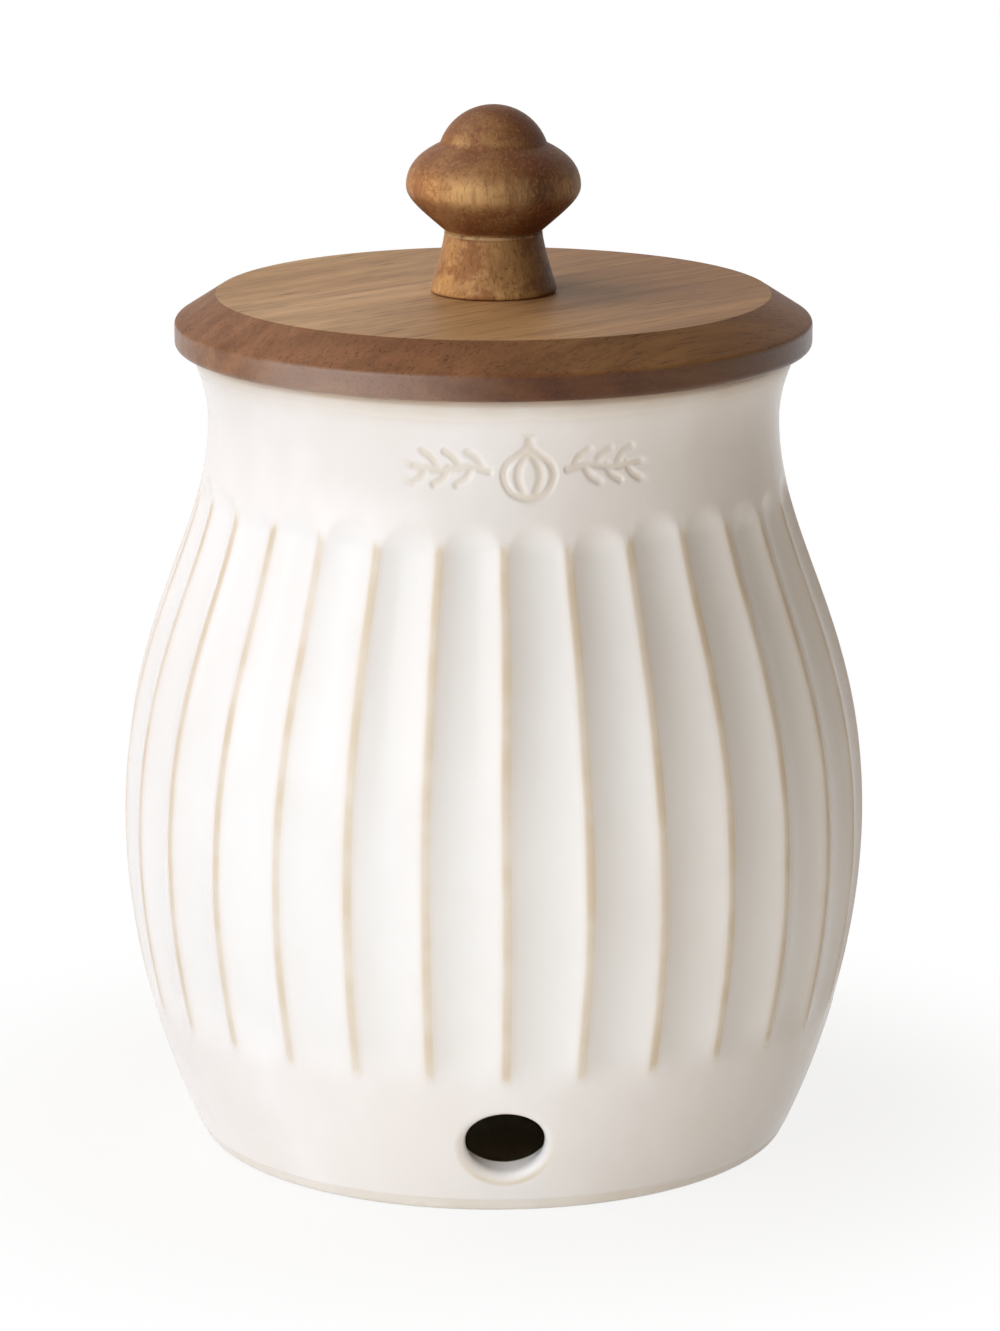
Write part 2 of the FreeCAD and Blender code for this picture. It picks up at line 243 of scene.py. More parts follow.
def turned_piece(name, profile, columns=128, closed=False):
    """A lathe-turned mesh. A profile that starts or ends on the axis closes there in one point."""
    points = []
    rings = []
    for r, z in profile:
        count = columns if r > 1e-6 else 1
        rings.append(list(range(len(points), len(points) + count)))
        angles = [2 * math.pi * i / count for i in range(count)]
        points += [(r * math.sin(a), -r * math.cos(a), z) for a in angles]
    if closed:
        rings.append(rings[0])
    return mesh_object(name, points, skin_faces(rings, columns))


# ---- jar ----
RIDGE_COLUMNS = (0.0, 0.38, 0.7)      # from the ridge's middle
HOLLOW_COLUMNS = (-0.93, -0.82, -0.62, -0.34, 0.0, 0.34, 0.62, 0.82, 0.93)    # shares of half the hollow
COLUMNS_PER_FLUTE = 2 * len(RIDGE_COLUMNS) - 1 + len(HOLLOW_COLUMNS)
COLUMNS = FLUTES * COLUMNS_PER_FLUTE
BAND_ROWS = 2
VENT_ROWS = 18
VENT_BLOCK_LOW = 3.4                    # a vent's block of cells outside starts here
ROOM_BLOCK_HIGH = 24.5                  # and its block inside reaches from here
ROOM_BLOCK_RADIUS = RECESS_RADIUS - 8   # to here on the floor
ROOM_ROW_GAP = 2.5                      # from the block up to the wall's next rows
FLOOR_RINGS = (28.0, 16.0, 6.0, 0.0)
WALL_LOOPS = (0.3, 0.6, 0.85, 0.96, 1.0)    # shares of the way from the block's edge to the lip
LIP_LOOPS = 8
BORE_LOOPS = (0.25, 0.5, 0.75, 0.93, 1.0)   # shares of the way through the wall
ROOM_LOOPS = (0.12, 0.4, 0.7)           # shares of the way out to the block's edge inside
WALL_SEARCH = (-9, 9)                   # from the vent's mark, where it can meet the wall
ROOM_SEARCH = (-16, 0)                  # and where it can meet the room


def column_angle(column, radius):
    """The angle of a mesh column at a radius; the columns keep close to each ridge's edges."""
    flute, place = divmod(column, COLUMNS_PER_FLUTE)
    pitch = 2 * math.pi * radius / FLUTES
    half_hollow = (pitch - FLUTE_RIDGE) / 2
    if place < len(RIDGE_COLUMNS):
        across = RIDGE_COLUMNS[place]
    elif place < len(RIDGE_COLUMNS) + len(HOLLOW_COLUMNS):
        across = pitch / 2 + HOLLOW_COLUMNS[place - len(RIDGE_COLUMNS)] * half_hollow
    else:
        across = pitch - RIDGE_COLUMNS[COLUMNS_PER_FLUTE - place]
    return flute * 2 * math.pi / FLUTES + across / radius


def outer_heights(margin=0.6, edge=0.3):
    """Heights of the outer wall's rows, closest together where the flutes end."""
    stretches = (
        (FOOT_BAND + edge, BAND_ROWS),
        (VENT_BLOCK_LOW, VENT_ROWS),
        (FLUTE_LOW - margin, 14),
        (FLUTE_LOW + FLUTE_FADE + margin, 34),
        (FLUTE_HIGH - FLUTE_ARCH - margin, 14),
        (FLUTE_HIGH + margin, 20),
        (JAR_HEIGHT - RIM_OUTER_ROUNDING - edge, 0))
    heights = []
    for (low, count), (high, _) in zip(stretches, stretches[1:]):
        heights += [low + (high - low) * i / count for i in range(count)]
    return heights


def room_profile():
    """The wall inside above the belly, the wall below it, and the round corner onto the floor."""
    share = (BELLY_HEIGHT - FLOOR_HEIGHT) / BELLY_HEIGHT
    floor_radius = FOOT_RADIUS + FOOT_FLARE * FLOOR_HEIGHT - WALL * math.hypot(1, FOOT_FLARE)
    room = BELLY_RADIUS - WALL
    lower = bezier(
        (floor_radius, FLOOR_HEIGHT),
        (floor_radius + FOOT_FLARE * FOOT_FULLNESS * share, FLOOR_HEIGHT + FOOT_FULLNESS * share),
        (room, BELLY_HEIGHT - BELLY_BELOW * share), (room, BELLY_HEIGHT), 60)
    upper = bezier(
        (room, BELLY_HEIGHT), (room, BELLY_HEIGHT + BELLY_ABOVE),
        (MOUTH_RADIUS, NECK_HEIGHT - NECK_BELOW), (MOUTH_RADIUS, NECK_HEIGHT), 22)
    slope = Vector((lower[6][0] - lower[0][0], lower[6][1] - lower[0][1])).normalized()
    reach = FLOOR_CORNER / math.tan(slope.angle(Vector((-1, 0))) / 2)
    middle = Vector((floor_radius - reach, FLOOR_HEIGHT + FLOOR_CORNER))
    wall_side = Vector((slope.y, -slope.x))
    steps = 12
    corner = [tuple(middle + wall_side.slerp(Vector((0, -1)), i / steps) * FLOOR_CORNER)
              for i in range(steps + 1)]
    wall_start = FLOOR_HEIGHT + slope.y * reach + 0.5
    return upper, [spot for spot in lower if spot[1] > wall_start], corner


class Jar:
    """The jar's mesh in the making. A point notes the outer wall, bare glaze (with the painted shade below
    the rim) and the inside, 0 to 1.
    """

    def __init__(self):
        self.points = []
        self.notes = []
        self.rings = []
        self.faces = []

    def add_point(self, spot, outer=0.0, bare=0.0, inside=0.0):
        self.points.append(tuple(spot))
        self.notes.append((outer, bare, inside))
        return len(self.points) - 1

    def add_ring(self, radius, height, **notes):
        if radius < 1e-6:
            self.rings.append([self.add_point((0, 0, height), **notes)])
            return
        angles = [column_angle(column, max(radius, NECK_RADIUS)) for column in range(COLUMNS)]
        spots = [(radius * math.sin(a), -radius * math.cos(a), height) for a in angles]
        self.rings.append([self.add_point(spot, **notes) for spot in spots])

    def block_edge(self, rows, columns):
        """The points round a block of cells, starting in its first row and column."""
        edge = [self.rings[rows[0]][column] for column in columns]
        edge += [self.rings[row][columns[-1]] for row in rows[1:]]
        edge += [self.rings[rows[-1]][column] for column in columns[-2::-1]]
        edge += [self.rings[row][columns[0]] for row in rows[-2:0:-1]]
        return edge

    def bridge(self, loop_a, loop_b):
        count = len(loop_a)
        for i in range(count):
            j = (i + 1) % count
            self.faces.append((loop_a[i], loop_a[j], loop_b[j], loop_b[i]))


def turn_foot(jar):
    """The recess, the ring that the jar stands on and the band that is wiped clean of glaze."""
    under = rounded([
        (0, RECESS_DEPTH, 0),
        (RECESS_RADIUS, RECESS_DEPTH, RECESS_CORNER),
        (RECESS_RADIUS, 0, RECESS_EDGE),
        (FOOT_RADIUS, 0, 0)], steps=3)
    for r, z in under[:-1]:
        jar.add_ring(r, z)
    slant = math.degrees(math.atan(FOOT_FLARE))
    reach = FOOT_ROUNDING / math.tan(math.radians(90 + slant) / 2)
    for r, z in arc((FOOT_RADIUS - reach, FOOT_ROUNDING), FOOT_ROUNDING, -90, -slant, 5):
        jar.add_ring(r - GLAZE_STEP, z, bare=FOOT_BARENESS)
    for height, share in ((FOOT_BAND - 0.5, 1.0), (FOOT_BAND - 0.08, 1.0), (FOOT_BAND + 0.05, 0.2)):
        jar.add_ring(radius_at(WALL_LINE, height) - GLAZE_STEP * share, height, bare=FOOT_BARENESS * share)


def turn_wall(jar):
    """The outer wall. Returns the rows of the vents' blocks, from the foot up."""
    first = len(jar.rings) + BAND_ROWS
    for height in outer_heights():
        # below the rim the glaze thins, and the same beige is painted shade under the lid's overhang
        thin_and_shade = min(max((height - JAR_HEIGHT + RIM_THIN_AND_SHADE_START) / RIM_THIN_AND_SHADE_RUN, 0), 1)
        jar.add_ring(radius_at(WALL_LINE, height), height, outer=1.0, bare=RIM_BARE_AND_SHADE * thin_and_shade)
    return list(range(first, first + VENT_ROWS + 1))


def turn_rim(jar):
    """The rim, rounded over from the outside into the mouth."""
    low = JAR_HEIGHT - RIM_OUTER_ROUNDING
    middle = (radius_at(WALL_LINE, low) - RIM_OUTER_ROUNDING, low)
    # the rim under the lid takes the beige too: thinner glaze and painted shade
    for r, z in arc(middle, RIM_OUTER_ROUNDING, 8, 90, 6):
        jar.add_ring(r, z, bare=RIM_BARE_AND_SHADE)
    middle = (MOUTH_RADIUS + RIM_INNER_ROUNDING, JAR_HEIGHT - RIM_INNER_ROUNDING)
    for r, z in arc(middle, RIM_INNER_ROUNDING, 90, 180, 8):
        jar.add_ring(r, z, bare=MOUTH_BARENESS)


def turn_room(jar):
    """The wall inside and the floor. Returns the blocks' rows and their line, both from the floor up."""
    upper, lower, corner = room_profile()
    mouth = spread([(MOUTH_RADIUS, JAR_HEIGHT - RIM_INNER_ROUNDING), (MOUTH_RADIUS, NECK_HEIGHT)], 3)
    above_block = [spot for spot in reversed(lower) if spot[1] > ROOM_BLOCK_HIGH + ROOM_ROW_GAP]
    block_line = [(radius_at(lower, ROOM_BLOCK_HIGH), ROOM_BLOCK_HIGH)]
    block_line += [spot for spot in reversed(lower) if corner[0][1] < spot[1] < ROOM_BLOCK_HIGH]
    block_line += corner + [(ROOM_BLOCK_RADIUS, FLOOR_HEIGHT)]
    block = spread(block_line, VENT_ROWS)
    floor = [(r, FLOOR_HEIGHT) for r in FLOOR_RINGS]
    above = mouth[1:-1] + upper[::-1] + above_block[1::3]
    first = len(jar.rings) + len(above)
    for r, z in above + block + floor:
        jar.add_ring(r, z, inside=1.0)
    return list(range(first + VENT_ROWS, first - 1, -1)), block[::-1]


def meets(start, direction, line, near, far):
    """How far along a direction the surface that a line turns is met, between two bounds."""
    for _ in range(26):
        middle = (near + far) / 2
        spot = start + direction * middle
        if math.hypot(spot.x, spot.y) < radius_at(line, spot.z):
            near = middle
        else:
            far = middle
    return (near + far) / 2


def on_ring(x, side, radius, height):
    """The point at x on the front (side -1) or the back (1) of a ring."""
    return (x, side * math.sqrt(radius ** 2 - x * x), height)


def cut_vent(jar, side, outer_edge, inner_edge, inner_line):
    """Fits the rounded vent, drilled square to the wall, between its blocks in the two skins."""
    mark = Vector((0, side * radius_at(WALL_LINE, VENT_HEIGHT), VENT_HEIGHT))
    outwards = Vector((0, side * math.cos(VENT_TILT), -math.sin(VENT_TILT)))
    upwards = Vector((0, side * math.sin(VENT_TILT), math.cos(VENT_TILT)))
    across = Vector((-side, 0, 0))
    arms = []
    for index in outer_edge:
        from_mark = Vector(jar.points[index]) - mark
        turn = math.atan2(from_mark.dot(upwards), from_mark.dot(across))
        arms.append(across * math.cos(turn) + upwards * math.sin(turn))

    def wall_spot(arm, away):
        start = mark + arm * away
        return start + outwards * meets(start, outwards, WALL_LINE, *WALL_SEARCH)

    # the wall from the block's edge to the lip
    lips = [wall_spot(arm, VENT_RADIUS + VENT_ROUNDING) for arm in arms]
    loops = [outer_edge]
    for share in WALL_LOOPS:
        spots = [Vector(jar.points[index]).lerp(lip, share) for index, lip in zip(outer_edge, lips)]
        loops.append([jar.add_point(on_ring(spot.x, side, radius_at(WALL_LINE, spot.z), spot.z))
                      for spot in spots])
    # the rounded lip, where the glaze breaks most along the lower edge
    for step in range(1, LIP_LOOPS + 1):
        bend = math.pi / 2 * step / LIP_LOOPS
        away = VENT_RADIUS + VENT_ROUNDING * (1 - math.sin(bend))
        sunk = VENT_ROUNDING * (1 - math.cos(bend))
        bare = 0.9 * math.exp(-((bend - 0.3) / 0.3) ** 2)
        edges = []
        loop = []
        for arm in arms:
            rise = arm.dot(upwards)
            edge = wall_spot(arm, away * (1 - VENT_FLATNESS * max(rise, 0) ** 2)) - outwards * sunk
            edges.append(edge)
            loop.append(jar.add_point(edge, bare=bare * min(max(0.4 - 0.7 * rise, 0), 1)))
        loops.append(loop)
    # the way through the wall
    room_wall = np.array([spot for spot in inner_line if spot[1] > FLOOR_HEIGHT + 0.05])
    exits = []
    for arm in arms:
        start = mark + arm * VENT_RADIUS + across * arm.dot(across) * VENT_SPREAD
        exits.append(start + outwards * meets(start, outwards, room_wall, *ROOM_SEARCH))
    for share in BORE_LOOPS:
        loops.append([jar.add_point(edge.lerp(end, share), inside=share ** 8)
                      for edge, end in zip(edges, exits)])
    # the wall and floor inside, out to the block's edge
    radii, heights = np.array(inner_line).T
    lengths = running_lengths(inner_line)
    for share in ROOM_LOOPS:
        loop = []
        for index, end in zip(inner_edge, exits):
            x, y, z = jar.points[index]
            nearest = int(np.argmin(np.hypot(radii - math.hypot(x, y), heights - z)))
            place = np.interp(end.z, heights, lengths)
            place += (lengths[nearest] - place) * share
            spot = on_ring(end.x + (x - end.x) * share, side, *along_line(inner_line, lengths, place))
            loop.append(jar.add_point(spot, inside=1.0))
        loops.append(loop)
    loops.append(inner_edge)
    for loop_a, loop_b in zip(loops, loops[1:]):
        jar.bridge(loop_a, loop_b)


def build_jar_skin():
    """The whole turned skin with its two vents, before the motif and the flutes are pressed in."""
    jar = Jar()
    turn_foot(jar)
    outer_rows = turn_wall(jar)
    turn_rim(jar)
    inner_rows, inner_line = turn_room(jar)
    blocks = {side: [(middle + i) % COLUMNS for i in range(-COLUMNS_PER_FLUTE, COLUMNS_PER_FLUTE + 1)]
              for side, middle in ((-1, 0), (1, COLUMNS // 2))}
    open_cells = {(row, column) for columns in blocks.values() for column in columns[:-1]
                  for row in outer_rows[:-1] + inner_rows[1:]}
    jar.faces += skin_faces(jar.rings, COLUMNS, open_cells)
    for side, columns in blocks.items():
        cut_vent(jar, side, jar.block_edge(outer_rows, columns), jar.block_edge(inner_rows, columns),
                 inner_line)
    piece = mesh_object("jar_glazed", jar.points, jar.faces)
    for name, values in zip(("outer_wall", "glaze_break_and_rim_shade", "glaze_inside"), zip(*jar.notes)):
        layer = piece.data.attributes.new(name, "FLOAT", "POINT")
        layer.data.foreach_set("value", values)
    return piece


# ---- pressed motif: (across, up) from the middle of the bulb ----
MOTIF_ANGLE = math.radians(4.8)
MOTIF_HEIGHT = 133.9
MOTIF_DEPTH = 0.36
MOTIF_STROKE = 0.6
MOTIF_SOFTNESS = 0.7
MOTIF_REACH = 21.5
MOTIF_RISE = 6.3
BULB_SIDE = ((0.0, 5.4), (0.35, 3.9), (1.6, 2.7), (3.7, 0.9), (4.4, -1.3), (3.2, -3.9), (1.0, -5.0),
             (0.0, -5.0))
CLOVE_LINE = ((0.3, 2.6), (1.6, 0.6), (1.95, -1.7), (1.1, -4.2))
SPRIG_STEM = ((6.8, -0.3), (10.8, 0.5), (15.2, -0.3), (20.4, 0.4))
LEAF_STARTS = (8.0, 9.9, 11.9, 13.9, 15.9, 17.8)
LEAF_FOOT = 0.2


def smooth_line(corners, steps=6):
    """A flowing line through the given corners."""
    points = []
    padded = np.array([corners[0], *corners, corners[-1]])
    for a, b, c, d in zip(padded, padded[1:], padded[2:], padded[3:]):
        for step in range(steps):
            t = step / steps
            bend = (2 * a - 5 * b + 4 * c - d) * t ** 2 + (3 * (b - c) - a + d) * t ** 3
            points.append(b + ((c - a) * t + bend) / 2)
    return points + [padded[-1]]


def motif_lines():
    """A garlic bulb between two leafy sprigs, drawn as strokes."""
    half = [smooth_line(corners) for corners in (BULB_SIDE, CLOVE_LINE, SPRIG_STEM)]
    for i, start in enumerate(LEAF_STARTS):
        lean = 1 if i % 2 == 0 else -1
        half.append(smooth_line([
            (start, LEAF_FOOT),
            (start + 1.0, LEAF_FOOT + lean * 1.8),
            (start + 2.6, LEAF_FOOT + lean * 2.9)], 4))
    return half + [[(-x, z) for x, z in line] for line in half]


def press_motif(piece):
    """Refines the mesh of the neck where the motif is, and presses the strokes into it."""
    shaping = bmesh.new()
    shaping.from_mesh(piece.data)

    def place_of(spot):
        angle = math.atan2(spot.x, -spot.y) - MOTIF_ANGLE
        return angle * NECK_RADIUS, spot.z / MM - MOTIF_HEIGHT

    def in_window(spot):
        across, up = place_of(spot)
        on_outside = spot.y < 0 and math.hypot(spot.x, spot.y) / MM > MOUTH_RADIUS + 2
        return on_outside and abs(across) < MOTIF_REACH and abs(up) < MOTIF_RISE

    edges = [edge for edge in shaping.edges if all(in_window(corner.co) for corner in edge.verts)]
    made = bmesh.ops.subdivide_edges(shaping, edges=edges, cuts=3, use_grid_fill=True)
    corners = {item for item in made["geom_inner"] + made["geom_split"]
               if isinstance(item, bmesh.types.BMVert)}
    corners |= {corner for edge in edges if edge.is_valid for corner in edge.verts}
    segments = [pair for line in motif_lines() for pair in zip(line, line[1:])]
    starts = np.array([a for a, _ in segments])
    runs = np.array([b for _, b in segments]) - starts
    squares = np.maximum((runs ** 2).sum(axis=1), 1e-9)
    bare = shaping.verts.layers.float["glaze_break_and_rim_shade"]
    outer = shaping.verts.layers.float["outer_wall"]
    for corner in corners:
        spot = np.array(place_of(corner.co))
        share = np.clip(((spot - starts) * runs).sum(axis=1) / squares, 0, 1)
        distance = np.hypot(*(starts + runs * share[:, None] - spot).T).min()
        sunk = 1 - min(max((distance - MOTIF_STROKE) / MOTIF_SOFTNESS + 0.5, 0), 1)
        sunk = sunk * sunk * (3 - 2 * sunk)
        radius = radius_at(WALL_LINE, corner.co.z / MM) - MOTIF_DEPTH * sunk
        angle = math.atan2(corner.co.x, -corner.co.y)
        corner.co.x = radius * MM * math.sin(angle)
        corner.co.y = -radius * MM * math.cos(angle)
        corner[bare] = max(corner[bare], 0.5 * sunk)
        corner[outer] = 1.0
    shaping.to_mesh(piece.data)
    shaping.free()
    return piece


# ---- geometry nodes ----
class Graph:
    """Places nodes in a tree and joins them."""

    def __init__(self, tree):
        self.tree = tree

    def node(self, kind, settings=None, **inputs):
        """A new node. Inputs are named with _ for a space, or i and their number."""
        made = self.tree.nodes.new(kind)
        for name, value in (settings or {}).items():
            setattr(made, name, value)
        for name, value in inputs.items():
            key = int(name[1:]) if name[0] == "i" and name[1:].isdigit() else name.replace("_", " ")
            self.feed(made.inputs[key], value)
        return made

    def feed(self, socket, value):
        if isinstance(value, bpy.types.NodeSocket):
            self.tree.links.new(value, socket)
        else:
            socket.default_value = value

    def math(self, operation, *values, clamp=False):
        made = self.node("ShaderNodeMath", {"operation": operation, "use_clamp": clamp})
        for socket, value in zip(made.inputs, values):
            self.feed(socket, value)
        return made.outputs[0]

    def times(self, first, *others):
        for value in others:
            first = self.math("MULTIPLY", first, value)
        return first

    def plus(self, first, *others):
        for value in others:
            first = self.math("ADD", first, value)
        return first

    def minus(self, a, b):
        return self.math("SUBTRACT", a, b)

    def over(self, a, b):
        return self.math("DIVIDE", a, b)

    def length(self, a, b):
        return self.math("SQRT", self.plus(self.times(a, a), self.times(b, b)))

    def smooth(self, value, low, high, to_low=0.0, to_high=1.0):
        """A soft step from one value to another as the given value goes from low to high."""
        made = self.node("ShaderNodeMapRange", {"interpolation_type": "SMOOTHSTEP"}, Value=value)
        for name, amount in (("From Min", low), ("From Max", high), ("To Min", to_low), ("To Max", to_high)):
            self.feed(made.inputs[name], amount)
        return made.outputs["Result"]

    def split(self, vector):
        return self.node("ShaderNodeSeparateXYZ", i0=vector).outputs

    def join(self, x, y, z):
        return self.node("ShaderNodeCombineXYZ", i0=x, i1=y, i2=z).outputs[0]

    def vector(self, operation, a, b):
        return self.node("ShaderNodeVectorMath", {"operation": operation}, i0=a, i1=b).outputs

    def background_seen(self):
        """1 for the rays that show the background: straight, mirrored or through glass."""
        path = self.node("ShaderNodeLightPath").outputs
        return self.math("MAXIMUM", self.math("MAXIMUM", path["Is Camera Ray"], path["Is Transmission Ray"]),
                         path["Is Glossy Ray"])


def flute_tree():
    """Geometry nodes that press the flutes into the wall and note where glaze thins or pools."""
    tree = bpy.data.node_groups.new("fluted_wall", "GeometryNodeTree")
    tree.interface.new_socket("Geometry", in_out="INPUT", socket_type="NodeSocketGeometry")
    for kind, names in (
            ("Int", ("Flutes", "Seed")),
            ("Float", ("Depth", "Ridge", "Arch", "Fade", "Softness", "Low End", "High End", "Unevenness")),
            ("Material", ("Glaze",))):
        for name in names:
            tree.interface.new_socket(name, in_out="INPUT", socket_type="NodeSocket" + kind)
    tree.interface.new_socket("Geometry", in_out="OUTPUT", socket_type="NodeSocketGeometry")
    g = Graph(tree)
    given = tree.nodes.new("NodeGroupInput").outputs
    position = tree.nodes.new("GeometryNodeInputPosition").outputs[0]
    x, y, height = g.split(position)
    radius = g.length(x, y)
    pitch = g.over(2 * math.pi, given["Flutes"])
    phase = g.over(g.math("ARCTAN2", x, g.times(y, -1.0)), pitch)
    number = g.math("FLOOR", phase)
    from_middle = g.times(g.minus(g.minus(phase, number), 0.5), pitch)
    half_width = g.minus(g.times(pitch, radius, 0.5), g.times(given["Ridge"], 0.5))
    across = g.over(g.times(from_middle, radius), half_width)

    def chance(offset):
        """A number from -1 to 1 for each flute."""
        return g.node("FunctionNodeRandomValue", {"data_type": "FLOAT"}, i2=-1.0, i3=1.0, ID=number,
                      Seed=g.plus(given["Seed"], offset)).outputs[1]

    def note(name):
        return g.node("GeometryNodeInputNamedAttribute", {"data_type": "FLOAT"}, Name=name).outputs[0]

    # how deep the hollow is
    shift = g.times(given["Unevenness"], MM)
    low = g.plus(given["Low End"], given["Fade"], g.times(chance(1), shift))
    high = g.plus(g.minus(given["High End"], given["Arch"]), g.times(chance(2), shift))
    beyond = g.over(g.math("MAXIMUM", g.minus(height, high), 0.0), given["Arch"])
    grown = g.smooth(height, given["Low End"], low)
    reach = g.plus(g.times(across, across), g.times(beyond, beyond))
    scooped = g.math("SMOOTH_MAX", g.minus(1.0, reach), 0.0, given["Softness"])
    hollow = g.times(scooped, grown, g.smooth(beyond, 0.0, 1.1, 1.0, 0.45))
    outer = note("outer_wall")
    own_depth = g.times(given["Depth"], g.plus(1.0, g.times(chance(3), 0.12)))
    inward = g.over(g.times(hollow, own_depth, outer, -1.0), radius)
    press = g.join(g.times(x, inward), g.times(y, inward), 0.0)
    # how the ridges sway between the flutes' ends
    sway_place = g.vector("MULTIPLY", position, (1.0, 1.0, 0.35))[0]
    sway_noise = g.node("ShaderNodeTexNoise", {"noise_dimensions": "3D"}, Vector=sway_place, Scale=42.0,
                        Detail=1.0).outputs[0]
    along = g.times(g.smooth(height, low, g.plus(low, 0.02)),
                    g.smooth(height, g.minus(high, 0.02), high, 1.0, 0.0))
    sway = g.times(g.minus(sway_noise, 0.5), shift, along, g.over(outer, radius), 2.4)
    sideways = g.join(g.times(y, -1.0, sway), g.times(x, sway), 0.0)
    # where the glaze breaks over the ridges
    crest = g.smooth(g.times(across, across), 0.78, 1.1)
    kept = g.times(g.smooth(beyond, 0.1, 0.55, 1.0, 0.0), g.smooth(grown, 0.08, 0.55))
    bare = g.math("MAXIMUM", g.times(crest, kept, outer), note("glaze_break_and_rim_shade"))
    geometry = given["Geometry"]
    for name, value in (("glaze_break_and_rim_shade", bare), ("glaze_pool", g.times(hollow, outer))):
        geometry = g.node("GeometryNodeStoreNamedAttribute", {"data_type": "FLOAT", "domain": "POINT"},
                          Geometry=geometry, Name=name, Value=value).outputs[0]
    moved = g.vector("ADD", press, sideways)[0]
    geometry = g.node("GeometryNodeSetPosition", Geometry=geometry, Offset=moved).outputs[0]
    geometry = g.node("GeometryNodeRealizeInstances", Geometry=geometry).outputs[0]
    geometry = g.node("GeometryNodeSetMaterial", Geometry=geometry, Material=given["Glaze"]).outputs[0]
    tree.links.new(geometry, tree.nodes.new("NodeGroupOutput").inputs[0])
    return tree


def apply_tree(piece, tree, values):
    """Runs a geometry nodes tree on a piece with named values and keeps the plain mesh."""
    modifier = piece.modifiers.new(tree.name, "NODES")
    modifier.node_group = tree
    for item in tree.interface.items_tree:
        if item.in_out == "INPUT" and item.name in values:
            modifier[item.identifier] = values[item.name]
    view_layer = bpy.context.evaluated_depsgraph_get()
    baked = bpy.data.meshes.new_from_object(piece.evaluated_get(view_layer))
    piece.modifiers.clear()
    piece.data = baked
    return piece


# ---- materials ----
def srgb(red, green, blue):
    """A linear colour from the three numbers of a screen colour, 0 to 255."""
    def channel(value):
        share = value / 255
        return share / 12.92 if share <= 0.04045 else ((share + 0.055) / 1.055) ** 2.4
    return (channel(red), channel(green), channel(blue), 1.0)


class Finish(Graph):
    """A material with one Principled shader, and short calls for what feeds it."""

    def __init__(self, name, **values):
        self.material = bpy.data.materials.new(name)
        self.material.use_nodes = True
        super().__init__(self.material.node_tree)
        self.shader = self.tree.nodes["Principled BSDF"]
        self.here = self.tree.nodes.new("ShaderNodeTexCoord").outputs["Object"]
        self.wire(**values)

    def wire(self, **values):
        """Links or sets the shader's own sockets."""
        for socket, value in values.items():
            self.feed(self.shader.inputs[socket.replace("_", " ")], value)
        return self.material

    def mapped(self, scale=(1, 1, 1), location=(0, 0, 0), rotation=(0, 0, 0)):
        return self.node("ShaderNodeMapping", Vector=self.here, Location=location,
                         Rotation=rotation, Scale=scale).outputs[0]

    def noise(self, scale, detail=2.0, roughness=0.5, stretch=(1, 1, 1)):
        return self.node("ShaderNodeTexNoise", Vector=self.mapped(scale=stretch), Scale=scale,
                         Detail=detail, Roughness=roughness).outputs[0]

    def mix(self, share, a, b, blend="MIX"):
        made = self.node("ShaderNodeMix", {"data_type": "RGBA", "blend_type": blend})
        for socket, value in ((0, share), (6, a), (7, b)):
            self.feed(made.inputs[socket], value)
        return made.outputs[2]

    def tint(self, colour, factor, share):
        return self.mix(share, colour, factor, "MULTIPLY")

    def attribute(self, name):
        return self.node("ShaderNodeAttribute", {"attribute_name": name}).outputs["Fac"]

    def bump(self, height, strength, distance):
        return self.node("ShaderNodeBump", Height=height, Strength=strength, Distance=distance).outputs[0]


def make_glaze():
    """Cream glaze that is thick and cool in the hollows and breaks to beige on every edge; below the rim the
    beige is also painted shade under the lid.
    """
    f = Finish("cream_glaze", IOR=1.5)
    clouds = f.noise(38.0, 3.0, 0.55, stretch=(1, 1, 0.6))
    patches = f.smooth(f.noise(110.0), 0.3, 0.7)
    inside = f.attribute("glaze_inside")
    cream = f.mix(f.smooth(clouds, 0.35, 0.7), srgb(236, 231, 226), srgb(242, 239, 236))
    pooled = f.mix(f.times(f.attribute("glaze_pool"), 0.5), cream, srgb(239, 241, 239))
    uneven = f.plus(0.62, f.times(patches, 0.38))
    bare = f.math("MULTIPLY", f.attribute("glaze_break_and_rim_shade"), uneven, clamp=True)
    # beige where the glaze breaks, which below the rim is also painted shade under the lid
    outside = f.mix(bare, pooled, srgb(216, 202, 178))
    ripple = f.noise(95.0, 1.0, 0.4)
    peel = f.noise(700.0)
    height = f.plus(f.times(ripple, 0.8), f.times(peel, 0.12))
    rough = f.plus(0.2, f.times(bare, 0.2), f.times(clouds, 0.06), f.times(inside, 0.4))
    return f.wire(Base_Color=f.mix(inside, outside, srgb(238, 229, 214)), Roughness=rough,
                  Normal=f.bump(height, 0.35, 0.0006),
                  Specular_IOR_Level=f.minus(0.38, f.times(inside, 0.3)))


